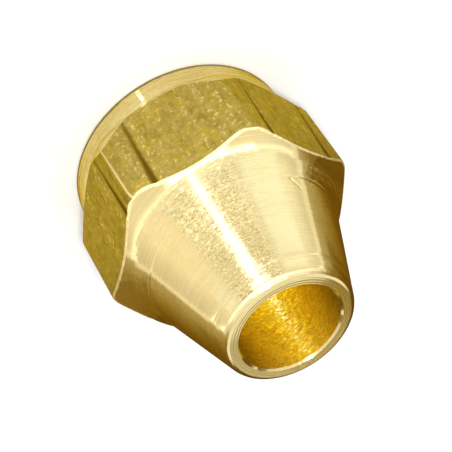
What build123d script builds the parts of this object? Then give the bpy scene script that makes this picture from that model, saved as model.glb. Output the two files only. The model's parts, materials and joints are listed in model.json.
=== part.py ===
from build123d import *

import os
from math import cos, radians, sqrt, tan

# Flare nut for quarter inch tube, turned from hexagon bar as one piece.
# Sizes are in millimetres and angles in degrees.
# The thread end stands on z = 0, the axis is +Z and the nose points up.

# Hexagon bar
across_flats = 14.29
bar_corner_round = 1.0

# Heights above the thread end
overall_length = 16.5
collar_length = 1.7
shoulder_height = 7.45  # where the shoulder leaves the circle through the bar's sharp corners
seat_height = 9.0  # where the thread ends and the flare seat begins

# Round collar at the thread end
collar_step = 0.05  # the collar lies this far inside the flats
collar_edge_chamfer = 0.2
corner_chamfer_angle = 32.0  # chamfer on the hexagon's rear corners, from the end face

# Shoulder and tapered nose
shoulder_angle = 53.0  # from the axis
shoulder_depth = 1.67  # from the bar's sharp corners in to the root of the nose
shoulder_fillet = 3.5
lip_wall = 0.85  # wall of the nose round the tube, before the lip is rounded
lip_round = 0.5

# Tube bore
tube_diameter = 6.35
tube_clearance = 0.05  # on the diameter
bore_rim_chamfer = 0.12

# Thread, left plain at its minor diameter, and the flare seat
thread_diameter = 11.11
thread_pitch = 1.27
thread_mouth_clearance = 0.1  # the lead-in opens this far outside the thread
seat_angle = 45.0  # from the axis

# Radii that follow from the sizes above
flat_radius = across_flats / 2
corner_radius = flat_radius / cos(radians(30))
collar_radius = flat_radius - collar_step
nose_root_radius = corner_radius - shoulder_depth
bore_radius = (tube_diameter + tube_clearance) / 2
nose_tip_radius = bore_radius + lip_wall
thread_form_height = thread_pitch * sqrt(3) / 2 * 5 / 8
thread_minor_radius = thread_diameter / 2 - thread_form_height
thread_mouth_radius = thread_diameter / 2 + thread_mouth_clearance

# Heights that follow from the sizes above
chamfer_top = collar_length + (corner_radius - collar_radius) * tan(radians(corner_chamfer_angle))
nose_root = shoulder_height + shoulder_depth / tan(radians(shoulder_angle))
mouth_depth = thread_mouth_radius - thread_minor_radius
seat_top = seat_height + (thread_minor_radius - bore_radius) / tan(radians(seat_angle))

with BuildPart() as flare_nut:
    # Turned outside: collar, rear chamfer, shoulder and nose
    with BuildSketch(Plane.XZ) as turned_section:
        with BuildLine():
            Polyline(
                (0, 0),
                (collar_radius, 0),
                (collar_radius, collar_length),
                (corner_radius, chamfer_top),
                (corner_radius, shoulder_height),
                (nose_root_radius, nose_root),
                (nose_tip_radius, overall_length),
                (0, overall_length),
                close=True,
            )
        make_face()
        section_corners = turned_section.vertices()
        collar_rim = section_corners.sort_by_distance((collar_radius, 0))[0]
        shoulder_root = section_corners.sort_by_distance((nose_root_radius, nose_root))[0]
        nose_lip = section_corners.sort_by_distance((nose_tip_radius, overall_length))[0]
        chamfer(collar_rim, collar_edge_chamfer)
        fillet(shoulder_root, shoulder_fillet)
        fillet(nose_lip, lip_round)
    revolve(axis=Axis.Z)

    # Flats of the bar, where the turned outside reaches them
    with BuildSketch(Plane.XY) as bar_section:
        RegularPolygon(flat_radius, 6, major_radius=False)
        fillet(bar_section.vertices(), bar_corner_round)
    extrude(amount=overall_length, mode=Mode.INTERSECT)

    # Inside: lead-in, thread bore, flare seat, tube bore and its broken rim
    with BuildSketch(Plane.XZ):
        with BuildLine():
            Polyline(
                (0, 0),
                (thread_mouth_radius, 0),
                (thread_minor_radius, mouth_depth),
                (thread_minor_radius, seat_height),
                (bore_radius, seat_top),
                (bore_radius, overall_length - bore_rim_chamfer),
                (bore_radius + bore_rim_chamfer, overall_length),
                (0, overall_length),
                close=True,
            )
        make_face()
    revolve(axis=Axis.Z, mode=Mode.SUBTRACT)

os.makedirs("parts", exist_ok=True)
flare_nut.part.label = "flare_nut"
export_step(flare_nut.part, "parts/flare_nut.step")
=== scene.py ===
import json
import math

import bpy
import numpy as np
from mathutils import Matrix, Vector


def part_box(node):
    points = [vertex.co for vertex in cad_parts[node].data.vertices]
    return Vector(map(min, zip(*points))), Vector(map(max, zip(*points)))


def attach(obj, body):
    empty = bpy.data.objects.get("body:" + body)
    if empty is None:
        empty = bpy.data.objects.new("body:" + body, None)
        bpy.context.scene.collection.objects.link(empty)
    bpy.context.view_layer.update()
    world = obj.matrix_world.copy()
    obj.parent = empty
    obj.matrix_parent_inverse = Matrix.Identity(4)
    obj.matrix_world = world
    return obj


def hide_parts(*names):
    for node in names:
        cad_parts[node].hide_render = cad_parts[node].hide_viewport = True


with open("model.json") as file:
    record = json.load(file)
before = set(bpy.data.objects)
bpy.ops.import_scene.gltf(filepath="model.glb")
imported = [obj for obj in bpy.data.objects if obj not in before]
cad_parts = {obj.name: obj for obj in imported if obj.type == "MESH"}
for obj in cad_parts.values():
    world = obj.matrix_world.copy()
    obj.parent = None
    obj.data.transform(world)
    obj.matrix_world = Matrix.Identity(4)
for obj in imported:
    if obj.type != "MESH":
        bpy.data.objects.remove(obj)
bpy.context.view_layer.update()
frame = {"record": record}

# Flare nut in brass. Lengths are in metres, and MM turns millimetres into them.
MM = 0.001

# Sizes read from the frame
box_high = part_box("flare_nut")[1]
mount_sizes = {mount["name"]: mount["dims"] for mount in frame["record"]["mounts"]}
LENGTH = box_high[2]
FLAT_RADIUS = box_high[1]
BORE_RADIUS = mount_sizes["tube_bore"]["r_mm"] * MM
THREAD_MINOR = mount_sizes["thread"]["r_mm"] * MM

# Outside of the nut
SHARP_CORNER = FLAT_RADIUS / math.cos(math.radians(30))
CORNER_ROUND = 1.004 * MM  # a hair over the solid's, so that the corners stay inside its box
COLLAR_RADIUS = FLAT_RADIUS - 0.05 * MM
COLLAR_LENGTH = 1.7 * MM
COLLAR_EDGE = 0.2 * MM
REAR_SLOPE = math.tan(math.radians(32))
SHOULDER_HEIGHT = 7.45 * MM
SHOULDER_DEPTH = 1.67 * MM
SHOULDER_ANGLE = math.radians(53)
SHOULDER_FILLET = 3.5 * MM
LIP_WALL = 0.85 * MM
LIP_ROUND = 0.5 * MM

# Inside of the nut; the thread's crest and flank are shares of half a pitch
SEAT_HEIGHT = 9.0 * MM
BORE_RIM = 0.12 * MM
THREAD_PITCH = 1.27 * MM
THREAD_MAJOR = 5.555 * MM
THREAD_CREST = 0.25
THREAD_FLANK = 0.625
MOUTH_RADIUS = 5.655 * MM

# Rounded edges, and two corners of the hexagon that are rubbed at both ends; spreads in degrees
EDGE_ROUND = 0.09 * MM
WORN_CORNERS = (240, 300)
REAR_WEAR = 0.75 * MM
REAR_WEAR_SPREAD = 9
REAR_ROUND_MOST = 0.8  # share of the chamfer that the rounding takes at most
FRONT_WEAR = 0.15 * MM
FRONT_WEAR_SPREAD = 6
SKIN_REACH = 0.25  # share of the rounded crease that keeps the dull skin of the flats
SKIN_REACH_WORN = 0.6  # added to it at the worn corners

# Marks of the lathe: a groove in front of the collar, rings on the nose and ripples on its lip
COLLAR_GROOVE_WIDTH = 0.2 * MM
COLLAR_GROOVE_DEPTH = 0.05 * MM
COLLAR_RINGS = (0.5 * MM, 0.8 * MM, 1.15 * MM)
COLLAR_RING_DEPTH = 0.015 * MM
RING_HEIGHTS = (10.0 * MM, 15.3 * MM, 15.46 * MM)
RING_HALF_WIDTH = 0.07 * MM
RING_DEPTH = 0.015 * MM
RIPPLE_LENGTH = 0.17 * MM
RIPPLE_DEPTH = 0.009 * MM

# Chatter, the lathe's short marks: strength at heights up the nut, and its patches round the axis,
# with the angle and half width of each in degrees
CHATTER_HEIGHTS = (0, 2 * MM, 8.6 * MM, 9.1 * MM, 12.3 * MM, 13.3 * MM, 15.5 * MM, 16.2 * MM)
CHATTER_SHARES = (0.25, 0.25, 0.15, 1.0, 1.0, 0.6, 0.5, 0.15)
CHATTER_PATCHES = ((25, 20), (95, 24), (160, 18), (260.5, 12), (287.5, 11.5))
CHATTER_FADE = 5
CHATTER_LEAST = 0.2

# A nick in the nose: angle round the axis in degrees and height at each end
NICK_ENDS = ((223.0, 10.31 * MM), (217.1, 10.84 * MM))
NICK_HALF_WIDTH = 0.07 * MM
NICK_DEPTH = 0.075 * MM

# Lines that the drawing die left along the flats: angle round the axis in degrees at the rear and
# at the front, half width and depth in millimetres; a negative depth is a ridge, rubbed bright
DRAW_LINES = (
    (187.5, 191.5, 0.15, 0.05),
    (226.5, 229.2, 0.14, 0.05),
    (288.0, 288.8, 0.16, 0.06),
    (301.8, 300.4, 0.06, -0.02),
    (304.0, 303.4, 0.22, 0.02),
    (310.3, 308.2, 0.15, 0.06),
    (19.0, 21.0, 0.14, 0.05),
    (77.0, 76.0, 0.16, 0.05),
    (104.0, 105.0, 0.12, 0.03),
    (131.0, 132.5, 0.13, 0.05),
)
DRAW_LINE_DEEPEST = 0.06 * MM

# Shares of a die line's width and depth at the rear, and what they gain up to the shoulder
LINE_WIDTH_REAR = 0.65
LINE_WIDTH_GAIN = 0.6
LINE_DEPTH_REAR = 0.5
LINE_DEPTH_GAIN = 0.5

# Bands along the flats that are rubbed to bright specks: angle round the axis and half width in degrees
RUBBED_BANDS = (
    (20, 2.0),
    (52, 1.5),
    (83, 1.8),
    (112, 2.2),
    (144, 1.4),
    (171, 1.8),
    (196, 1.6),
    (233, 1.5),
    (244.8, 1.3),
    (250.5, 1.7),
    (259.8, 1.2),
    (284.4, 1.7),
    (292.6, 1.6),
    (314, 1.5),
    (333, 2.0),
)

# Columns of the mesh in degrees round the axis, and counts of rows on its parts
COLUMN_STEP = 1.5
CORNER_COLUMNS = np.arange(-4.2, 4.3, 0.7)
LINE_COLUMNS = np.arange(-2.5, 2.6, 0.5)
NICK_COLUMNS = np.arange(216, 224.5, 0.5)
NICK_ROWS = np.arange(10.2, 10.98, 0.06) * MM
RING_ROWS = RING_HALF_WIDTH * np.array([-1.6, -0.8, 0, 0.8, 1.6])
END_FACE_ROWS = 4
COLLAR_EDGE_ROWS = 6
REAR_EDGE_ROWS = 8
FLAT_ROWS = 14
SHOULDER_ROWS = 16
NOSE_ROWS = 22
LIP_ROWS = 34
BORE_ROWS = 12
SEAT_ROWS = 5
THREAD_ROWS = 52
SHARP_EDGE = math.radians(40)

# Camera, fitted to the outline in the photograph
CAMERA_AZIMUTH = math.radians(-87.166)
CAMERA_ELEVATION = math.radians(42.825)
CAMERA_DISTANCE = 107.592 * MM
CAMERA_ROLL = math.radians(147.443)
CAMERA_TARGET = Vector((0, 0, 7.061 * MM))
CAMERA_LENS = 141.498
CAMERA_SENSOR = 36.0

# Shape that follows from the sizes above
NOSE_TIP = BORE_RADIUS + LIP_WALL
NOSE_ROOT = SHARP_CORNER - SHOULDER_DEPTH
NOSE_ROOT_HEIGHT = SHOULDER_HEIGHT + SHOULDER_DEPTH / math.tan(SHOULDER_ANGLE)
NOSE_ANGLE = math.atan((NOSE_ROOT - NOSE_TIP) / (LENGTH - NOSE_ROOT_HEIGHT))
FILLET_TANGENT = SHOULDER_FILLET * math.tan((SHOULDER_ANGLE - NOSE_ANGLE) / 2)
FILLET_TOP = NOSE_ROOT_HEIGHT + FILLET_TANGENT * math.cos(NOSE_ANGLE)
LIP_CENTRE_Z = LENGTH - LIP_ROUND
LIP_CENTRE_R = NOSE_TIP + LIP_ROUND * math.tan(NOSE_ANGLE) - LIP_ROUND / math.cos(NOSE_ANGLE)
LIP_START = LIP_CENTRE_Z + LIP_ROUND * math.sin(NOSE_ANGLE)


# Outline of the turned body and of the hexagon bar


def nose_radius(z):
    """Radius of the straight nose cone at height z."""
    return NOSE_TIP + (LENGTH - z) * math.tan(NOSE_ANGLE)


def shoulder_curve(samples=400):
    """Heights, rising, and radii of the shoulder's flank, its fillet and the nose cone."""
    turn = np.linspace(SHOULDER_ANGLE, NOSE_ANGLE, samples)
    arc_z = FILLET_TOP - SHOULDER_FILLET * (np.sin(turn) - math.sin(NOSE_ANGLE))
    arc_r = nose_radius(FILLET_TOP) + SHOULDER_FILLET * (math.cos(NOSE_ANGLE) - np.cos(turn))
    flank_r = SHARP_CORNER + 0.1 * MM
    flank_z = arc_z[0] - (flank_r - arc_r[0]) / math.tan(SHOULDER_ANGLE)
    z = np.concatenate([[flank_z], arc_z, [LENGTH]])
    r = np.concatenate([[flank_r], arc_r, [NOSE_TIP]])
    return z, r


CURVE_Z, CURVE_R = shoulder_curve()


def shoulder_radius(z):
    """Turned radius at height z, from the shoulder to the nose."""
    return np.interp(z, CURVE_Z, CURVE_R)


def shoulder_height(r):
    """Height at which the turned shoulder has radius r."""
    return np.interp(-r, -CURVE_R, CURVE_Z)


def hexagon_radius(angle):
    """Radius of the hexagon bar with rounded corners; one corner lies on the X axis."""
    off_corner = np.abs((angle + np.pi / 6) % (np.pi / 3) - np.pi / 6)
    flat = FLAT_RADIUS / np.cos(np.pi / 6 - off_corner)
    centre = (FLAT_RADIUS - CORNER_ROUND) / math.cos(math.pi / 6)
    tangent = math.atan2(CORNER_ROUND / 2, centre + CORNER_ROUND * math.cos(math.pi / 6))
    inside = np.maximum(CORNER_ROUND**2 - (centre * np.sin(off_corner)) ** 2, 0)
    rounded = centre * np.cos(off_corner) + np.sqrt(inside)
    return np.where(off_corner < tangent, rounded, flat)


# Wear and tool marks


def angle_from(angle, degrees):
    """Signed angle from a direction in degrees, at most half a turn."""
    return (angle - np.radians(degrees) + np.pi) % (2 * np.pi) - np.pi


def worn_share(angle, spread):
    """1 at the hexagon's rubbed corners, falling to 0 away from them."""
    share = np.zeros_like(angle)
    for degrees in WORN_CORNERS:
        share += np.exp(-((angle_from(angle, degrees) / math.radians(spread)) ** 2))
    return share


def draw_line_depth(angle, z):
    """Depth of the die's lines, which grow wider and deeper towards the shoulder."""
    t = np.clip((z - COLLAR_LENGTH) / (SHOULDER_HEIGHT - COLLAR_LENGTH), 0, 1)
    depth = np.zeros_like(angle)
    for rear, front, half_width, deep in DRAW_LINES:
        across = angle_from(angle, rear + (front - rear) * t) * FLAT_RADIUS
        width = half_width * MM * (LINE_WIDTH_REAR + LINE_WIDTH_GAIN * t)
        depth += deep * MM * (LINE_DEPTH_REAR + LINE_DEPTH_GAIN * t) * np.exp(-((across / width) ** 2))
    return depth


def rubbed_share(angle):
    """1 in the middle of the rubbed bands, falling to 0 beside them."""
    share = np.zeros_like(angle)
    for degrees, half_width in RUBBED_BANDS:
        share += np.exp(-((angle_from(angle, degrees) / math.radians(half_width)) ** 2))
    return share


def chatter_share(angle, z):
    """Strength of the chatter, 1 in its patches on the nose."""
    patch = np.zeros_like(angle)
    for degrees, half_width in CHATTER_PATCHES:
        away = np.degrees(np.abs(angle_from(angle, degrees)))
        patch = np.maximum(patch, np.clip((half_width - away) / CHATTER_FADE, CHATTER_LEAST, 1))
    return patch * np.interp(z, CHATTER_HEIGHTS, CHATTER_SHARES)


def nose_mark_depth(angle, z):
    """Depth of the lathe's rings and of the nick in the nose."""
    depth = np.zeros_like(angle)
    for ring in RING_HEIGHTS:
        depth += RING_DEPTH * math.exp(-(((z - ring) / RING_HALF_WIDTH) ** 2))
    (start_angle, start_z), (end_angle, end_z) = NICK_ENDS
    run = math.radians(end_angle - start_angle) * nose_radius(start_z)
    rise = end_z - start_z
    u = angle_from(angle, start_angle) * nose_radius(start_z)
    v = z - start_z
    t = np.clip((u * run + v * rise) / (run**2 + rise**2), 0, 1)
    away = np.hypot(u - run * t, v - rise * t)
    return depth + NICK_DEPTH * np.exp(-((away / NICK_HALF_WIDTH) ** 2))


# Mesh of the nut


def column_angles():
    """Angles of the mesh's columns, closer together at the corners, die lines and nick."""
    degrees = list(np.arange(0, 360, COLUMN_STEP))
    for corner in range(0, 360, 60):
        degrees += list(corner + CORNER_COLUMNS)
    for rear, front, _, _ in DRAW_LINES:
        degrees += list((rear + front) / 2 + LINE_COLUMNS)
    degrees += list(NICK_COLUMNS)
    return np.radians(np.unique(np.round(np.array(degrees) % 360, 1)))


def nose_heights():
    """Heights of the mesh's rows on the nose, closer together at the rings and the nick."""
    heights = list(np.linspace(FILLET_TOP, LIP_START, NOSE_ROWS)[1:-1])
    for ring in RING_HEIGHTS:
        heights += list(ring + RING_ROWS)
    heights += list(NICK_ROWS)
    return np.unique(np.round(heights, 6))


class Section:
    """Rows of points round the nut, each with a radius and a height for every column."""

    def __init__(self, angles):
        self.angles = angles
        self.rows = []

    def add(self, r, z, finish):
        """One more row; the faces between it and the row before take the finish."""
        ones = np.ones_like(self.angles)
        self.rows.append((r * ones, z * ones, finish))

    def bend(self, start, corner, end, shares, finish):
        """Rows of a rounded edge, at shares of the way from start to end round the corner."""
        for t in shares:
            r = (1 - t) ** 2 * start[0] + 2 * t * (1 - t) * corner[0] + t**2 * end[0]
            z = (1 - t) ** 2 * start[1] + 2 * t * (1 - t) * corner[1] + t**2 * end[1]
            self.add(r, z, finish)


def collar_rows(section):
    """End face, rounded rim, collar with its rings and the groove in front of it."""
    for r in np.linspace(MOUTH_RADIUS, COLLAR_RADIUS - COLLAR_EDGE, END_FACE_ROWS):
        section.add(r, 0, "collar")
    for turn in np.linspace(0, np.pi / 2, COLLAR_EDGE_ROWS)[1:]:
        r = COLLAR_RADIUS - COLLAR_EDGE * (1 - math.sin(turn))
        section.add(r, COLLAR_EDGE * (1 - math.cos(turn)), "collar")
    for ring in COLLAR_RINGS:
        section.add(COLLAR_RADIUS, ring - RING_HALF_WIDTH, "collar")
        section.add(COLLAR_RADIUS - COLLAR_RING_DEPTH, ring, "collar")
        section.add(COLLAR_RADIUS, ring + RING_HALF_WIDTH, "collar")
    groove_start = COLLAR_LENGTH - COLLAR_GROOVE_WIDTH
    section.add(COLLAR_RADIUS, groove_start, "collar")
    for t in (0.3, 0.7):
        section.add(COLLAR_RADIUS - COLLAR_GROOVE_DEPTH, groove_start + COLLAR_GROOVE_WIDTH * t, "collar")
    section.add(COLLAR_RADIUS, COLLAR_LENGTH, "collar")


def rear_rows(section, flat):
    """Rear chamfer and its edge, rounded more at worn corners; gives the height where flats start."""
    angles = section.angles
    rear = COLLAR_LENGTH + (flat - COLLAR_RADIUS) * REAR_SLOPE
    rear_round = EDGE_ROUND + REAR_WEAR * worn_share(angles, REAR_WEAR_SPREAD)
    carved = flat - draw_line_depth(angles, rear)
    inward = np.minimum(rear_round, REAR_ROUND_MOST * (flat - COLLAR_RADIUS))
    before = (carved - inward, rear - inward * REAR_SLOPE)
    for t in (0.33, 0.67):
        r = COLLAR_RADIUS + (before[0] - COLLAR_RADIUS) * t
        z = COLLAR_LENGTH + (before[1] - COLLAR_LENGTH) * t
        section.add(r, z, "collar")
    start = rear + rear_round
    after = (flat - draw_line_depth(angles, start), start)
    section.bend(before, (carved, rear), after, np.linspace(0, 1, REAR_EDGE_ROWS), "collar")
    return start


def flat_rows(section, flat, start, stop):
    """Flats between two heights, with their die lines."""
    for t in np.linspace(0, 1, FLAT_ROWS)[1:]:
        z = start + (stop - start) * t
        section.add(flat - draw_line_depth(section.angles, z), z, "drawn")


def crease_rows(section, flat, crease, front_round, worn):
    """Rounded crease between the flats and the shoulder, and the shoulder with its fillet."""
    carved = flat - draw_line_depth(section.angles, crease)
    after_z = crease + front_round
    after_r = np.minimum(shoulder_radius(after_z), carved)
    edge = ((carved, crease - front_round), (carved, crease), (after_r, after_z))
    skin_end = SKIN_REACH + SKIN_REACH_WORN * worn
    section.bend(*edge, [skin_end * t for t in (0.33, 0.67, 1.0)], "drawn")
    # The crease's outer part takes the edge finish, painted pale as a highlight
    section.bend(*edge, [skin_end + (1 - skin_end) * t for t in (0.25, 0.5, 0.75, 1.0)], "edge")
    for t in np.linspace(0, 1, SHOULDER_ROWS)[1:]:
        z = after_z + (FILLET_TOP - after_z) * t
        section.add(np.minimum(shoulder_radius(z), after_r), z, "turned")


def hexagon_rows(section):
    """Hexagon from its rear chamfer to the shoulder."""
    flat = hexagon_radius(section.angles)
    crease = shoulder_height(flat)
    worn = worn_share(section.angles, FRONT_WEAR_SPREAD)
    front_round = EDGE_ROUND + FRONT_WEAR * worn
    start = rear_rows(section, flat)
    flat_rows(section, flat, start, crease - front_round)
    crease_rows(section, flat, crease, front_round, worn)


def nose_rows(section):
    """Nose cone, its rounded lip and the end face, rippled by the tool."""
    for z in nose_heights():
        section.add(nose_radius(z) - nose_mark_depth(section.angles, z), z, "turned")
    arc = LIP_ROUND * (math.pi / 2 - NOSE_ANGLE)
    face = LIP_CENTRE_R - BORE_RADIUS - BORE_RIM
    for way in np.linspace(0, arc + face, LIP_ROWS):
        turn = min(NOSE_ANGLE + way / LIP_ROUND, math.pi / 2)
        ripple = RIPPLE_DEPTH * math.sin(math.pi * way / RIPPLE_LENGTH) ** 2
        reach = LIP_ROUND - ripple
        r = LIP_CENTRE_R - max(way - arc, 0) + reach * math.cos(turn)
        section.add(r, LIP_CENTRE_Z + reach * math.sin(turn), "turned")


def thread_radius(angles, z):
    """Right-hand internal thread with flat crests and roots, run out at the seat."""
    phase = (z / THREAD_PITCH - angles / (2 * np.pi)) % 1.0
    ridge = np.abs(phase - 0.5) * 2
    depth = np.clip((ridge - THREAD_CREST) / THREAD_FLANK, 0, 1)
    run_out = np.clip((SEAT_HEIGHT - z) / THREAD_PITCH, 0, 1)
    thread = THREAD_MINOR + (THREAD_MAJOR - THREAD_MINOR) * depth * run_out
    return np.maximum(thread, MOUTH_RADIUS - z)


def inside_rows(section):
    """Rim of the bore, bore, flare seat, thread and lead-in, down to the thread end."""
    for t in (0.5, 1.0):
        section.add(BORE_RADIUS + BORE_RIM * (1 - t), LENGTH - BORE_RIM * t, "turned")
    seat_top = SEAT_HEIGHT + THREAD_MINOR - BORE_RADIUS
    for z in np.linspace(LENGTH - BORE_RIM, seat_top, BORE_ROWS)[1:]:
        section.add(BORE_RADIUS, z, "bored")
    for t in np.linspace(0, 1, SEAT_ROWS)[1:]:
        r = BORE_RADIUS + (THREAD_MINOR - BORE_RADIUS) * t
        section.add(r, seat_top + (SEAT_HEIGHT - seat_top) * t, "bored")
    for z in np.linspace(SEAT_HEIGHT, 0, THREAD_ROWS)[1:-1]:
        section.add(thread_radius(section.angles, z), z, "bored")


def grid_faces(rows, columns):
    """Quads of a grid that is closed both ways."""
    row = np.arange(rows)[:, None]
    column = np.arange(columns)[None, :]
    next_row = (row + 1) % rows
    next_column = (column + 1) % columns
    corners = [
        row * columns + column,
        row * columns + next_column,
        next_row * columns + next_column,
        next_row * columns + column,
    ]
    return np.stack(corners, axis=-1).reshape(-1, 4)


def paint_points(mesh, name, values):
    """Gives each point of the mesh a number that the materials read."""
    attribute = mesh.attributes.new(name, "FLOAT", "POINT")
    attribute.data.foreach_set("value", values.astype(np.float32).ravel())


def paint_marks(mesh, section, height):
    """Die lines, rubbed bands and chatter for the materials, at each point of the mesh."""
    angles = section.angles
    lines = [draw_line_depth(angles, row[1]) / DRAW_LINE_DEEPEST for row in section.rows]
    paint_points(mesh, "draw_line", np.array(lines))
    paint_points(mesh, "rubbed", np.tile(rubbed_share(angles), (len(section.rows), 1)))
    paint_points(mesh, "chatter", chatter_share(angles[None, :], height))


def assign_finishes(mesh, section, materials):
    """Material of each band of faces between two rows; the last band closes the grid at the thread end."""
    slots = {name: index for index, name in enumerate(materials)}
    for material in materials.values():
        mesh.materials.append(material)
    finishes = [row[2] for row in section.rows[1:]] + ["bored"]
    band_slots = np.repeat([slots[finish] for finish in finishes], len(section.angles))
    mesh.polygons.foreach_set("material_index", band_slots)


def build_nut(materials):
    """The whole nut as one closed mesh of rows and columns."""
    section = Section(column_angles())
    collar_rows(section)
    hexagon_rows(section)
    nose_rows(section)
    inside_rows(section)
    angles = section.angles
    radius = np.array([row[0] for row in section.rows])
    height = np.array([row[1] for row in section.rows])
    points = np.stack([radius * np.cos(angles), radius * np.sin(angles), height], axis=-1)
    faces = grid_faces(*radius.shape)

    mesh = bpy.data.meshes.new("flare_nut_brass")
    mesh.from_pydata(points.reshape(-1, 3).tolist(), [], faces.tolist())
    assign_finishes(mesh, section, materials)
    mesh.polygons.foreach_set("use_smooth", np.ones(len(faces), dtype=bool))
    paint_marks(mesh, section, height)
    mesh.set_sharp_from_angle(angle=SHARP_EDGE)
    mesh.update()
    return link_object("flare_nut_brass", mesh)


def link_object(name, data):
    """A new object in the scene."""
    thing = bpy.data.objects.new(name, data)
    bpy.context.collection.objects.link(thing)
    return thing


# Shader nodes


def add_node(tree, kind, inputs, **settings):
    """A shader node; each input is a number, a colour or another node's output."""
    node = tree.nodes.new(kind)
    for name, value in settings.items():
        setattr(node, name, value)
    for name, value in inputs.items():
        if isinstance(value, bpy.types.NodeSocket):
            tree.links.new(value, node.inputs[name])
        else:
            node.inputs[name].default_value = value
    return node


def maths(tree, operation, first, second):
    """Sum, product or the like of two numbers."""
    return add_node(tree, "ShaderNodeMath", {0: first, 1: second}, operation=operation).outputs[0]


def vector_maths(tree, operation, inputs):
    """Outputs of a calculation with vectors."""
    return add_node(tree, "ShaderNodeVectorMath", inputs, operation=operation).outputs


def remap(tree, value, low, high, to_low, to_high):
    """Value moved from one range to another and clamped there."""
    inputs = {"Value": value, "From Min": low, "From Max": high, "To Min": to_low, "To Max": to_high}
    return add_node(tree, "ShaderNodeMapRange", inputs).outputs["Result"]


def blend(tree, share, first, second):
    """Colour between first and second."""
    inputs = {"Factor": share, 6: first, 7: second}
    return add_node(tree, "ShaderNodeMix", inputs, data_type="RGBA").outputs[2]


def average(tree, first, second):
    """Number half way between two."""
    return maths(tree, "MULTIPLY", maths(tree, "ADD", first, second), 0.5)


def noise(tree, vector, detail, roughness):
    """Noise of one cell for each unit of the vector."""
    inputs = {"Vector": vector, "Scale": 1.0, "Detail": detail, "Roughness": roughness}
    return add_node(tree, "ShaderNodeTexNoise", inputs).outputs["Fac"]


def bump(tree, height, distance, normal=None):
    """Normal of a relief so high, on top of another normal if one is given."""
    inputs = {"Height": height, "Distance": distance, "Strength": 1.0}
    if normal:
        inputs["Normal"] = normal
    return add_node(tree, "ShaderNodeBump", inputs).outputs["Normal"]


def point_value(tree, name):
    """Number that the mesh's points carry under that name."""
    return add_node(tree, "ShaderNodeAttribute", {}, attribute_name=name).outputs["Fac"]


def object_point(tree):
    """Place on the nut, in its own coordinates."""
    return tree.nodes.new("ShaderNodeTexCoord").outputs["Object"]


def stretched(tree, across, along):
    """The nut's own coordinates, with so many cells a millimetre across and along the axis."""
    scale = (across / MM, across / MM, along / MM)
    return vector_maths(tree, "MULTIPLY", {0: object_point(tree), 1: scale})[0]


PROFILE_LEAN = 0.6  # share of the radius taken from the height, so that marks show on the end faces too


def ringed(tree, around_axis, along):
    """Coordinates for lathe marks: cells a radian round the axis and a millimetre along it."""
    split = add_node(tree, "ShaderNodeSeparateXYZ", {0: object_point(tree)}).outputs
    spoke = add_node(tree, "ShaderNodeCombineXYZ", {0: split[0], 1: split[1]}).outputs[0]
    radius = vector_maths(tree, "LENGTH", {0: spoke})["Value"]
    outward = vector_maths(tree, "NORMALIZE", {0: spoke})[0]
    profile = maths(tree, "SUBTRACT", split[2], maths(tree, "MULTIPLY", radius, PROFILE_LEAN))
    height = maths(tree, "MULTIPLY", profile, along / MM)
    rise = add_node(tree, "ShaderNodeCombineXYZ", {2: height}).outputs[0]
    sweep = vector_maths(tree, "SCALE", {0: outward, "Scale": around_axis})[0]
    return vector_maths(tree, "ADD", {0: sweep, 1: rise})[0]


def round_axis(tree):
    """Direction round the nut's axis, along the lathe's grooves."""
    return add_node(tree, "ShaderNodeTangent", {}, direction_type="RADIAL", axis="Z").outputs[0]


def both_ways(tree, pattern, slope):
    """Slope that swings both ways with a noise pattern."""
    return remap(tree, pattern, 0, 1, -slope, slope)


def tipped_normal(tree, slope):
    """Surface normal tipped across the lathe's grooves by a slope."""
    normal = tree.nodes.new("ShaderNodeNewGeometry").outputs["Normal"]
    across = vector_maths(tree, "CROSS_PRODUCT", {0: normal, 1: round_axis(tree)})[0]
    tip = vector_maths(tree, "SCALE", {0: across, "Scale": slope})[0]
    tipped = vector_maths(tree, "ADD", {0: normal, 1: tip})[0]
    return vector_maths(tree, "NORMALIZE", {0: tipped})[0]


# Brass in its finishes. Colours are linear, and a rim tint colours reflections at grazing angles.


def start_metal(name, rim_tint):
    """A new metal material with its node tree and shader."""
    material = bpy.data.materials.new(name)
    material.use_nodes = True
    shader = material.node_tree.nodes["Principled BSDF"]
    shader.inputs["Metallic"].default_value = 1.0
    shader.inputs["Specular Tint"].default_value = rim_tint
    return material, material.node_tree, shader


def connect(tree, shader, **sources):
    """Links nodes to the shader's inputs; an underscore in a name stands for a space."""
    for name, source in sources.items():
        tree.links.new(source, shader.inputs[name.replace("_", " ")])


QUARTER_TURN = 0.25


def spread_along_profile(tree, shader, anisotropy):
    """Highlights drawn out across the lathe's grooves."""
    connect(tree, shader, Tangent=round_axis(tree))
    shader.inputs["Anisotropic"].default_value = anisotropy
    shader.inputs["Anisotropic Rotation"].default_value = QUARTER_TURN


TURNED_COLOURS = ((0.85, 0.69, 0.32, 1), (0.95, 0.80, 0.42, 1))
# The collar's colours are the turned brass darkened: painted shade on the collar, which stands on the floor
COLLAR_SHADED_COLOURS = ((0.51, 0.40, 0.12, 1), (0.73, 0.60, 0.27, 1))
LATHE_RIM = (0.9, 0.72, 0.3, 1)
LATHE_ROUGHNESS = (0.11, 0.16)
LATHE_RING_SLOPE = 0.06
LATHE_MARK_SLOPE = 0.5
LATHE_ANISOTROPY = 0.5


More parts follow.
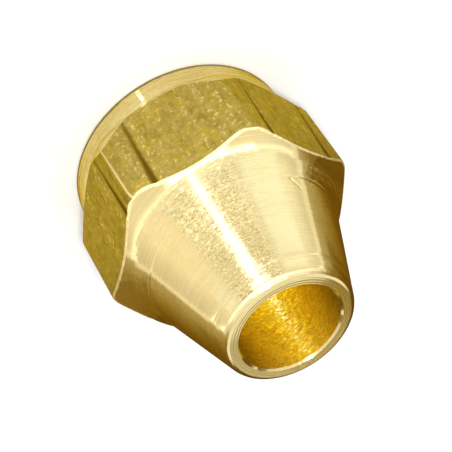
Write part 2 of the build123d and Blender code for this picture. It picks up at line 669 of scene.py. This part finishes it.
def lathe_brass(name, colours):
    """Bright lathe-turned brass with fine rings and short broken tool marks."""
    material, tree, shader = start_metal(name, LATHE_RIM)
    rings = noise(tree, ringed(tree, around_axis=2.5, along=11), detail=3, roughness=0.6)
    marks = noise(tree, ringed(tree, around_axis=22, along=8.5), detail=1, roughness=0.5)
    haze = noise(tree, stretched(tree, across=0.5, along=0.5), detail=2, roughness=0.5)
    tone = average(tree, rings, average(tree, marks, haze))
    colour = blend(tree, remap(tree, tone, 0.38, 0.62, 0, 1), *colours)
    chatter = point_value(tree, "chatter")
    mark_slope = maths(tree, "MULTIPLY", both_ways(tree, marks, LATHE_MARK_SLOPE), chatter)
    slope = maths(tree, "ADD", both_ways(tree, rings, LATHE_RING_SLOPE), mark_slope)
    roughness = remap(tree, rings, 0.3, 0.7, *LATHE_ROUGHNESS)
    connect(tree, shader, Base_Color=colour, Roughness=roughness, Normal=tipped_normal(tree, slope))
    spread_along_profile(tree, shader, LATHE_ANISOTROPY)
    return material


# The flats' dark colours are partly the drawn skin's tarnish and partly painted shade
DRAWN_TARNISH_AND_SHADE_COLOURS = ((0.30, 0.219, 0.034, 1), (0.455, 0.334, 0.083, 1))
GOLDEN_COLOUR = (0.46, 0.34, 0.030, 1)
FLECK_COLOUR = (0.78, 0.62, 0.24, 1)
LINE_COLOUR = (0.13, 0.08, 0.006, 1)
RIDGE_COLOUR = (0.85, 0.70, 0.30, 1)
DRAWN_RIM = (0.65, 0.5, 0.2, 1)
DRAWN_ROUGHNESS = (0.48, 0.3)  # between the flecks and in them
STREAK_RELIEF = 0.012 * MM
GRAIN_RELIEF = 0.03 * MM


def drawn_brass():
    """Dull drawn skin of the bar: mottled, streaked along the axis, with rubbed specks and die lines."""
    material, tree, shader = start_metal("brass_drawn", DRAWN_RIM)
    blotch = noise(tree, stretched(tree, across=0.9, along=0.5), detail=4, roughness=0.65)
    streak = noise(tree, stretched(tree, across=4, along=0.8), detail=2, roughness=0.5)
    grain = noise(tree, stretched(tree, across=4.6, along=3.8), detail=2, roughness=0.6)
    mottle = noise(tree, stretched(tree, across=2.4, along=1.8), detail=2, roughness=0.6)
    gold = noise(tree, stretched(tree, across=1.5, along=1.1), detail=3, roughness=0.6)
    tone = average(tree, average(tree, blotch, streak), mottle)
    colour = blend(tree, remap(tree, tone, 0.38, 0.62, 0, 1), *DRAWN_TARNISH_AND_SHADE_COLOURS)
    colour = blend(tree, remap(tree, gold, 0.5, 0.66, 0, 0.6), colour, GOLDEN_COLOUR)
    rubbed = remap(tree, point_value(tree, "rubbed"), 0, 1, 0, 0.1)
    fleck = remap(tree, maths(tree, "ADD", grain, rubbed), 0.58, 0.77, 0, 0.68)
    colour = blend(tree, fleck, colour, FLECK_COLOUR)
    line = point_value(tree, "draw_line")
    colour = blend(tree, remap(tree, line, 0.1, 0.8, 0, 1), colour, LINE_COLOUR)
    colour = blend(tree, remap(tree, line, 0, -0.25, 0, 1), colour, RIDGE_COLOUR)
    roughness = remap(tree, fleck, 0, 1, *DRAWN_ROUGHNESS)
    normal = bump(tree, grain, GRAIN_RELIEF, bump(tree, streak, STREAK_RELIEF))
    connect(tree, shader, Base_Color=colour, Roughness=roughness, Normal=normal)
    return material


# Pale colours along the crease between the flats and the shoulder: a painted highlight
EDGE_HIGHLIGHT_COLOURS = ((0.84, 0.68, 0.30, 1), (0.97, 0.86, 0.50, 1))
EDGE_RIM = (0.95, 0.8, 0.4, 1)
EDGE_ROUGHNESS = (0.5, 0.65)


def edge_highlight_brass():
    """Edge between the flats and the shoulder: painted pale as a highlight, and dull."""
    material, tree, shader = start_metal("brass_edge_highlight", EDGE_RIM)
    grain = noise(tree, stretched(tree, across=4, along=4), detail=2, roughness=0.6)
    colour = blend(tree, remap(tree, grain, 0.35, 0.65, 0, 1), *EDGE_HIGHLIGHT_COLOURS)
    roughness = remap(tree, grain, 0.3, 0.7, *EDGE_ROUGHNESS)
    connect(tree, shader, Base_Color=colour, Roughness=roughness)
    return material


# The bore's deeper gold is painted light: it stands for light bounced round inside the bore
BORE_PAINTED_BOUNCE_COLOURS = ((0.85, 0.69, 0.07, 1), (0.95, 0.80, 0.16, 1))
BORED_RIM = (0.85, 0.66, 0.25, 1)
BORED_ROUGHNESS = (0.22, 0.34)
BORED_RING_SLOPE = 0.3
BORED_MARK_SLOPE = 0.7
BORED_ANISOTROPY = 0.6


def bored_brass():
    """Drilled bore and thread with coarse feed marks; their deep gold is painted bounce light."""
    material, tree, shader = start_metal("brass_bored", BORED_RIM)
    rings = noise(tree, ringed(tree, around_axis=5, along=5), detail=3, roughness=0.6)
    marks = noise(tree, ringed(tree, around_axis=16, along=8), detail=1, roughness=0.5)
    colour = blend(tree, remap(tree, marks, 0.35, 0.65, 0, 1), *BORE_PAINTED_BOUNCE_COLOURS)
    ring_slope = both_ways(tree, rings, BORED_RING_SLOPE)
    slope = maths(tree, "ADD", ring_slope, both_ways(tree, marks, BORED_MARK_SLOPE))
    roughness = remap(tree, rings, 0.3, 0.7, *BORED_ROUGHNESS)
    connect(tree, shader, Base_Color=colour, Roughness=roughness, Normal=tipped_normal(tree, slope))
    spread_along_profile(tree, shader, BORED_ANISOTROPY)
    return material


# Stage: camera, floor, lamps and world


def aim(thing, target, roll=0.0):
    """Turns a camera or lamp so that it looks at target, rolled about its line of sight."""
    forward = (target - thing.location).normalized()
    level = forward.cross(Vector((0, 0, 1))).normalized()
    rise = level.cross(forward)
    right = level * math.cos(roll) + rise * math.sin(roll)
    up = right.cross(forward)
    turn = Matrix((right, up, -forward)).transposed()
    thing.matrix_world = Matrix.Translation(thing.location) @ turn.to_4x4()


def around(azimuth, elevation, distance, centre):
    """A point seen from centre at that azimuth and elevation."""
    flat = math.cos(elevation) * distance
    offset = (flat * math.cos(azimuth), flat * math.sin(azimuth), distance * math.sin(elevation))
    return centre + Vector(offset)


def add_camera():
    """Camera at the photograph's viewing angle."""
    data = bpy.data.cameras.new("camera")
    data.lens = CAMERA_LENS
    data.sensor_width = CAMERA_SENSOR
    data.clip_start = 1 * MM
    camera = link_object("camera", data)
    camera.location = around(CAMERA_AZIMUTH, CAMERA_ELEVATION, CAMERA_DISTANCE, CAMERA_TARGET)
    aim(camera, CAMERA_TARGET, CAMERA_ROLL)
    bpy.context.scene.camera = camera


FLOOR_REACH = 400 * MM
FLOOR_COLOUR = (0.9, 0.9, 0.9, 1)
FLOOR_ROUGHNESS = 0.9


def add_floor():
    """Plain pale floor under the nut."""
    corners = [(x * FLOOR_REACH, y * FLOOR_REACH, 0) for x, y in ((-1, -1), (1, -1), (1, 1), (-1, 1))]
    mesh = bpy.data.meshes.new("floor")
    mesh.from_pydata(corners, [], [(0, 1, 2, 3)])
    material = bpy.data.materials.new("floor_white")
    material.use_nodes = True
    shader = material.node_tree.nodes["Principled BSDF"]
    shader.inputs["Base Color"].default_value = FLOOR_COLOUR
    shader.inputs["Roughness"].default_value = FLOOR_ROUGHNESS
    shader.inputs["Specular IOR Level"].default_value = 0.0
    mesh.materials.append(material)
    link_object("floor", mesh)


LAMP_DISTANCE = 130 * MM


def add_lamp(name, azimuth, elevation, width, height, power):
    """A rectangular lamp; its azimuth is counted from the camera's."""
    data = bpy.data.lights.new(name, "AREA")
    data.shape = "RECTANGLE"
    data.size = width
    data.size_y = height
    data.energy = power
    lamp = link_object(name, data)
    turn = CAMERA_AZIMUTH + math.radians(azimuth)
    lamp.location = around(turn, math.radians(elevation), LAMP_DISTANCE, CAMERA_TARGET)
    aim(lamp, CAMERA_TARGET)


def add_world():
    """Even white light from all sides."""
    world = bpy.data.worlds.new("world")
    bpy.context.scene.world = world
    world.use_nodes = True
    background = world.node_tree.nodes["Background"]
    background.inputs["Color"].default_value = (1, 1, 1, 1)
    background.inputs["Strength"].default_value = 1.0


# Cards that stand for the photograph's studio and are seen only in the brass


def reflection_only(card):
    """Keeps a card out of the picture and off the floor, so that only the brass shows it."""
    card.visible_camera = False
    card.visible_diffuse = False
    card.visible_shadow = False


def glow_material(name):
    """Light of the colour that the mesh's points carry."""
    material = bpy.data.materials.new(name)
    material.use_nodes = True
    tree = material.node_tree
    colour = add_node(tree, "ShaderNodeAttribute", {}, attribute_name="glow").outputs["Color"]
    light = add_node(tree, "ShaderNodeEmission", {"Color": colour}).outputs[0]
    tree.links.new(light, tree.nodes["Material Output"].inputs["Surface"])
    return material


def add_glowing(name, points, faces, colours):
    """A card with one colour of light for all its points, or one for each."""
    mesh = bpy.data.meshes.new(name)
    mesh.from_pydata(points, [], faces)
    glow = np.ones((len(points), 4), dtype=np.float32)
    glow[:, :3] = colours
    mesh.attributes.new("glow", "FLOAT_COLOR", "POINT").data.foreach_set("color", glow.ravel())
    mesh.materials.append(glow_material(name))
    reflection_only(link_object(name, mesh))


def add_sheet(name, rows, colours):
    """A card from rows of points, with a colour for each column."""
    count = len(colours)
    starts = [index for index in range((len(rows) - 1) * count) if index % count < count - 1]
    faces = [(index, index + 1, index + 1 + count, index + count) for index in starts]
    points = [point for row in rows for point in row]
    add_glowing(name, points, faces, np.tile(colours, (len(rows), 1)))


GREY_LEVEL = 0.62
DARK_RED_GAIN = 0.4
DARK_GREEN_POWER = 0.34
DARK_BLUE_POWER = 1.7


def card_colour(level):
    """Grey light, turning olive and then brown as it darkens below the grey level."""
    share = np.clip(level / GREY_LEVEL, 0, 1)
    red = level * (1 + DARK_RED_GAIN - DARK_RED_GAIN * share)
    return np.stack([red, red * share**DARK_GREEN_POWER, red * share**DARK_BLUE_POWER], axis=-1)


CARD_COLUMNS = 160


def by_azimuth(table):
    """Azimuths in even steps from the first to the last in a table, and its values there."""
    azimuths, values = np.array(table).T
    steps = np.linspace(azimuths[0], azimuths[-1], CARD_COLUMNS)
    order = np.argsort(azimuths)
    return steps, np.interp(steps, azimuths[order], values[order])


def standing_row(radius, steps, heights):
    """Points of a card at azimuths counted from the camera's."""
    turns = np.radians(steps) + CAMERA_AZIMUTH
    across = (radius * np.cos(turns), radius * np.sin(turns))
    return np.stack([*across, heights * np.ones_like(turns)], axis=-1).tolist()


LEAN_HEIGHT = 4.4 * MM
LEAN_TOP = 9.3 * MM


def add_card(name, radius, low, high, stops, tint=(1, 1, 1), lean=0, flare=0):
    """A standing curved card with brightness stops at azimuths counted from the camera's.

    Lean turns the card round the axis with height, in degrees a millimetre from LEAN_HEIGHT to LEAN_TOP.
    Flare widens the card towards its top.
    """
    steps, level = by_azimuth(stops)
    rows = []
    for z in sorted({low, min(max(LEAN_TOP, low), high), high}):
        shift = lean * (min(z, LEAN_TOP) - LEAN_HEIGHT) / MM
        rows.append(standing_row(radius + flare * (z - low) / (high - low), steps + shift, z))
    add_sheet(name, rows, card_colour(level) * np.array(tint))


def add_band(name, radius, path, half_height, level):
    """A narrow card of one brightness along a path of azimuths and heights in millimetres."""
    steps, middle = by_azimuth(path)
    rows = [standing_row(radius, steps, middle * MM + side * half_height) for side in (-1, 1)]
    add_sheet(name, rows, card_colour(np.full_like(steps, level)))


def add_glow(name, points, colour):
    """A flat card of one colour."""
    add_glowing(name, points, [tuple(range(len(points)))], np.array(colour))


DISC_POINTS = 48


def add_glow_disc(name, radius, height, colour):
    """A disc of light lying on the floor under the nut's bore."""
    turns = np.linspace(0, 2 * np.pi, DISC_POINTS, endpoint=False)
    add_glow(name, [(radius * math.cos(turn), radius * math.sin(turn), height) for turn in turns], colour)


def add_glow_strip(name, azimuth, near, far, half_width, height, colour):
    """A strip of light lying on the floor along an azimuth counted from the camera's."""
    turn = CAMERA_AZIMUTH + math.radians(azimuth)
    along = Vector((math.cos(turn), math.sin(turn), 0))
    across = Vector((-math.sin(turn), math.cos(turn), 0))
    lift = Vector((0, 0, height))
    corners = [(near, -half_width), (far, -half_width), (far, half_width), (near, half_width)]
    add_glow(name, [along * u + across * v + lift for u, v in corners], colour)


# Tables of the cards: azimuth in degrees counted from the camera's, negative to the right in the
# photograph, with the brightness there, or with the height in millimetres for a band

CARD_FOOT = 0.1 * MM
RIGHT_TINT = (1.0, 0.99, 0.95)
LEFT_TINT = (1.03, 0.965, 0.87)

# Outer side cards in three tiers, bright round to about 90 degrees and dark behind
OUTER_RADIUS = 26 * MM
SIDE_LEAN = 0.35
BROW_TOP = 17 * MM
OUTER_TOP = 34 * MM
SIDE_RIGHT = (
    (-66, 1.12), (-70, 1.09), (-73, 1.06), (-77.5, 1.0), (-80, 0.93), (-82.3, 0.86), (-86, 0.81),
    (-87.5, 0.82), (-89, 1.0), (-93.8, 1.0), (-94.4, 0.465),
    (-100, 0.43), (-103, 0.385), (-108, 0.335), (-114, 0.28),
)
SIDE_LEFT = (
    (56, 1.05), (58, 1.05), (63, 1.03), (68, 0.94), (73, 0.86), (77.5, 0.83), (82.3, 0.77), (87, 0.76),
    (88.3, 0.98), (92.4, 0.98), (93.0, 0.43), (99, 0.40), (103, 0.36), (108, 0.32), (114, 0.27),
)
BROW_RIGHT = (
    (-66, 1.0), (-72, 0.92), (-78, 0.85), (-84, 0.80), (-86, 1.0), (-89, 1.0),
    (-89.6, 0.45), (-94, 0.36), (-98, 0.27), (-102, 0.21), (-108, 0.15), (-115, 0.12),
)
BROW_LEFT = (
    (58, 0.98), (64, 0.93), (72, 0.85), (82, 0.79), (83.5, 1.0), (87.2, 1.0),
    (87.8, 0.44), (94, 0.38), (101, 0.29), (108, 0.21), (115, 0.16),
)
TOP_RIGHT = (
    (-66, 1.0), (-72, 0.95), (-78, 0.86), (-84, 0.76), (-89, 0.62),
    (-94, 0.38), (-98, 0.28), (-104, 0.2), (-110, 0.15), (-115, 0.12),
)
TOP_LEFT = (
    (58, 0.98), (64, 0.93), (72, 0.85), (82, 0.79), (88, 0.62),
    (94, 0.4), (101, 0.3), (108, 0.22), (115, 0.16),
)

# Inner cards: dark round the back, in tiers
INNER_RADIUS = 17 * MM
ROOT_TOP = 4.6 * MM
DARK_TOP = 8.5 * MM
DEEP_TOP = 23 * MM
ROOT_RIGHT = (
    (-101.2, 0.35), (-104, 0.31), (-108, 0.24), (-114, 0.19), (-120, 0.17), (-143, 0.13),
    (-160, 0.11), (-172, 0.2), (-180, 0.25),
)
DARK_RIGHT = (
    (-101.2, 0.39), (-103, 0.37), (-110.5, 0.29), (-120, 0.235), (-130, 0.185), (-143, 0.145),
    (-160, 0.12), (-172, 0.2), (-180, 0.25),
)
DARK_LEFT = (
    (101.2, 0.34), (103, 0.32), (110.5, 0.255), (120, 0.20), (130, 0.155), (143, 0.13),
    (160, 0.12), (172, 0.2), (180, 0.25),
)
DEEP_RIGHT = (
    (-101.2, 0.24), (-110, 0.17), (-120, 0.13), (-143, 0.1), (-160, 0.1), (-172, 0.2), (-180, 0.25),
)
DEEP_LEFT = (
    (101.2, 0.27), (110, 0.2), (120, 0.15), (143, 0.11), (160, 0.11), (172, 0.2), (180, 0.25),
)

# Dark bands close to the shoulder's root on both sides
HOLLOW_RADIUS = 8.1 * MM
HOLLOW_HALF_HEIGHT = 0.42 * MM
HOLLOW_START_RIGHT = ((-75, 8.44), (-79, 8.38))
HOLLOW_START_LEFT = ((75, 8.44), (80, 8.36))
HOLLOW_RIGHT = ((-79, 8.38), (-88, 8.2), (-95, 8.03), (-103, 7.78), (-116, 7.48))
HOLLOW_LEFT = ((80, 8.36), (86, 8.24), (95, 8.03), (103, 7.78), (116, 7.48))

# Shade on the floor round the nut, as the brass sees it
FLOOR_LOW = 0.06 * MM
FLOOR_FAR_RADIUS = 15 * MM
FLOOR_FAR_WIDTH = 10.5 * MM
FLOOR_NEAR_RADIUS = 10.5 * MM
FLOOR_NEAR_WIDTH = 4.5 * MM
FLOOR_FAR_RIGHT = ((-92, 0.4), (-110, 0.25), (-130, 0.15), (-180, 0.15))
FLOOR_FAR_LEFT = ((92, 0.4), (110, 0.25), (130, 0.15), (180, 0.15))
FLOOR_NEAR = ((120, 0.2), (135, 0.13), (225, 0.13), (240, 0.2))

# Bright bands that make the ring of light round the shoulder
RING_RADIUS = 25.5 * MM
RING_BRIGHT = ((-56, 20.4), (-50, 21.2), (-21, 26))
RING_RIGHT = ((-84.5, 12.4), (-78, 15.2), (-65, 18.4), (-56, 20))
RING_LEFT = ((20, 23), (50, 20), (62, 18), (71, 15.7), (82, 12.2), (86.5, 10.2))

# Front of the nose: pale on both sides, with a white streak in the middle that is wider near the lip
FRONT_TOP = 12.5 * MM
FRONT_TINT = (0.97, 1.05, 1.1)
FRONT_RIGHT = ((-34, 1.05), (-38, 1.14), (-52, 1.17), (-59.6, 1.17), (-63, 1.13), (-66, 1.06))
FRONT_LEFT = ((34, 1.0), (40, 1.03), (54.5, 1.02))
STREAK_TINT = (0.96, 1.0, 1.18)
STREAK = ((-1.2, 2.2), (5.4, 2.2))
STREAK_TOP = ((-7, 1.3), (-4.5, 3.2), (10.5, 3.2), (13, 1.3))
STREAK_LIP = ((-12, 1.2), (-7, 2.6), (9, 2.6), (14, 1.2))
PALE_LINE_TINT = (1.0, 0.98, 1.1)
PALE_LINE = ((-25.8, 1.05), (-27.4, 1.05))

# Dark slats and the bright gaps between them, which the chatter breaks into mottle
SLAT_RADIUS = 40 * MM
SLAT_HEIGHT = 3.4 * MM
SLAT_HEIGHTS = (3.6 * MM, 11.6 * MM)
GAP_HEIGHTS = (0.2 * MM, 7.0 * MM, 15.0 * MM)
SLAT_RIGHT = ((-2.5, 0.32), (-28, 0.32), (-37, 0.9))
SLAT_LEFT = ((7, 0.32), (32, 0.32), (44, 0.9))
GAP_RIGHT = ((-2.5, 1.3), (-28, 1.3), (-37, 1.05))
GAP_LEFT = ((7, 1.3), (32, 1.3), (44, 1.0))

# Light from above: close to the lip, a softbox in front, a ceiling, and a card behind the nut
LIP_TINT = (0.98, 1.03, 1.12)
LIP_LIGHT = ((-65, 1.2), (-40, 1.6), (-20, 2.4), (18, 2.4), (40, 1.6), (65, 1.2))
SOFTBOX = ((-42, 1.2), (-36, 3.0), (20, 3.0), (28, 1.2))
CEILING_TINT = (1.02, 0.98, 0.9)
CEILING = ((-110, 0.78), (-82, 0.8), (-70, 0.98), (60, 0.95), (82, 0.8), (110, 0.78))
BACK = ((135, 0.54), (165, 0.54), (180, 0.4), (195, 0.26), (225, 0.26))

# Light on the floor: a gold disc under the bore, a blue strip across it that gold brass shows paler,
# a white glint in front of the collar and the shade at its foot
BORE_GLOW_COLOUR = (2.0, 1.42, 0.0)
BORE_STRIP_COLOUR = (3.2, 6.2, 28)
GLINT_COLOUR = (4, 4, 4)
FOOT = ((-180, 0.42), (180, 0.42))


def add_side_cards():
    """Bright and dark sides of the studio."""
    add_card("side_right", OUTER_RADIUS, CARD_FOOT, LEAN_TOP, SIDE_RIGHT, RIGHT_TINT, SIDE_LEAN)
    add_card("side_left", OUTER_RADIUS, CARD_FOOT, LEAN_TOP, SIDE_LEFT, LEFT_TINT, -SIDE_LEAN)
    add_card("brow_right", OUTER_RADIUS, LEAN_TOP, BROW_TOP, BROW_RIGHT, RIGHT_TINT)
    add_card("brow_left", OUTER_RADIUS, LEAN_TOP, BROW_TOP, BROW_LEFT, LEFT_TINT)
    add_card("top_right", OUTER_RADIUS, BROW_TOP, OUTER_TOP, TOP_RIGHT, RIGHT_TINT)
    add_card("top_left", OUTER_RADIUS, BROW_TOP, OUTER_TOP, TOP_LEFT, LEFT_TINT)
    add_card("root_right", INNER_RADIUS, CARD_FOOT, ROOT_TOP, ROOT_RIGHT)
    add_card("dark_right", INNER_RADIUS, ROOT_TOP, DARK_TOP, DARK_RIGHT)
    add_card("dark_left", INNER_RADIUS, CARD_FOOT, DARK_TOP, DARK_LEFT)
    add_card("deep_right", INNER_RADIUS, DARK_TOP, DEEP_TOP, DEEP_RIGHT)
    add_card("deep_left", INNER_RADIUS, DARK_TOP, DEEP_TOP, DEEP_LEFT)


def add_root_cards():
    """Dark bands at the shoulder's root and the shade on the floor."""
    add_band("hollow_start_right", HOLLOW_RADIUS, HOLLOW_START_RIGHT, HOLLOW_HALF_HEIGHT, level=0.21)
    add_band("hollow_start_left", HOLLOW_RADIUS, HOLLOW_START_LEFT, HOLLOW_HALF_HEIGHT, level=0.27)
    add_band("hollow_right", HOLLOW_RADIUS, HOLLOW_RIGHT, HOLLOW_HALF_HEIGHT, level=0.13)
    add_band("hollow_left", HOLLOW_RADIUS, HOLLOW_LEFT, HOLLOW_HALF_HEIGHT, level=0.21)
    for side, stops in (("right", FLOOR_FAR_RIGHT), ("left", FLOOR_FAR_LEFT)):
        add_card(f"floor_far_{side}", FLOOR_FAR_RADIUS, FLOOR_LOW, CARD_FOOT, stops, flare=FLOOR_FAR_WIDTH)
    add_card("floor_near", FLOOR_NEAR_RADIUS, FLOOR_LOW, CARD_FOOT, FLOOR_NEAR, flare=FLOOR_NEAR_WIDTH)


def add_ring_bands():
    """Ring of light round the shoulder, brightest at the front."""
    add_band("ring_bright", RING_RADIUS, RING_BRIGHT, half_height=2.5 * MM, level=2.8)
    add_band("ring_right", RING_RADIUS, RING_RIGHT, half_height=1.3 * MM, level=1.5)
    add_band("ring_left", RING_RADIUS, RING_LEFT, half_height=1.4 * MM, level=1.5)


def add_front_cards():
    """Pale front with its streak, its pale line and the slats."""
    add_card("front_right", INNER_RADIUS, CARD_FOOT, FRONT_TOP, FRONT_RIGHT, FRONT_TINT)
    add_card("front_left", INNER_RADIUS, CARD_FOOT, FRONT_TOP, FRONT_LEFT, LEFT_TINT)
    add_card("streak", INNER_RADIUS, CARD_FOOT, high=22 * MM, stops=STREAK, tint=STREAK_TINT)
    add_card("streak_top", radius=39 * MM, low=9.6 * MM, high=12.4 * MM, stops=STREAK_TOP, tint=STREAK_TINT)
    add_card("streak_lip", radius=10 * MM, low=15 * MM, high=15.9 * MM, stops=STREAK_LIP, tint=STREAK_TINT)
    add_card("pale_line", INNER_RADIUS, CARD_FOOT, high=14 * MM, stops=PALE_LINE, tint=PALE_LINE_TINT)
    for index, low in enumerate(SLAT_HEIGHTS):
        add_card(f"slat_right_{index}", SLAT_RADIUS, low, low + SLAT_HEIGHT, SLAT_RIGHT)
        add_card(f"slat_left_{index}", SLAT_RADIUS, low, low + SLAT_HEIGHT, SLAT_LEFT)
    for index, low in enumerate(GAP_HEIGHTS):
        add_card(f"gap_right_{index}", SLAT_RADIUS, low, low + SLAT_HEIGHT, GAP_RIGHT)
        add_card(f"gap_left_{index}", SLAT_RADIUS, low, low + SLAT_HEIGHT, GAP_LEFT)


def add_overhead_cards():
    """Light from above and behind."""
    add_card("lip_light", radius=12 * MM, low=17.2 * MM, high=24 * MM, stops=LIP_LIGHT, tint=LIP_TINT)
    add_card("softbox", radius=69 * MM, low=57 * MM, high=92 * MM, stops=SOFTBOX)
    add_card("ceiling", radius=70 * MM, low=62 * MM, high=160 * MM, stops=CEILING, tint=CEILING_TINT)
    add_card("back", INNER_RADIUS, low=24 * MM, high=34.5 * MM, stops=BACK)


def add_floor_lights():
    """Light that comes up from the floor, inside the bore and at the collar."""
    add_glow_disc("bore_glow", radius=4.6 * MM, height=0.05 * MM, colour=BORE_GLOW_COLOUR)
    add_glow_strip(
        "bore_strip",
        azimuth=0,
        near=-4.5 * MM,
        far=4.5 * MM,
        half_width=0.25 * MM,
        height=FLOOR_LOW,
        colour=BORE_STRIP_COLOUR,
    )
    add_glow_strip(
        "collar_glint",
        azimuth=1.4,
        near=7.5 * MM,
        far=9.6 * MM,
        half_width=0.14 * MM,
        height=FLOOR_LOW,
        colour=GLINT_COLOUR,
    )
    add_card("foot", radius=6.95 * MM, low=0.005 * MM, high=0.12 * MM, stops=FOOT, flare=0.3 * MM)


nut = build_nut({
    "turned": lathe_brass("brass_turned", TURNED_COLOURS),
    "collar": lathe_brass("brass_collar_shaded", COLLAR_SHADED_COLOURS),
    "drawn": drawn_brass(),
    "edge": edge_highlight_brass(),
    "bored": bored_brass(),
})
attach(nut, "root")
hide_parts("flare_nut")

add_camera()
add_floor()
add_lamp("strip", azimuth=2.6, elevation=12, width=12 * MM, height=50 * MM, power=0.01)
add_lamp("bore_lamp", azimuth=0, elevation=52, width=14 * MM, height=30 * MM, power=0.08)
add_side_cards()
add_root_cards()
add_ring_bands()
add_front_cards()
add_overhead_cards()
add_floor_lights()
add_world()
bpy.context.scene.view_settings.view_transform = "Standard"
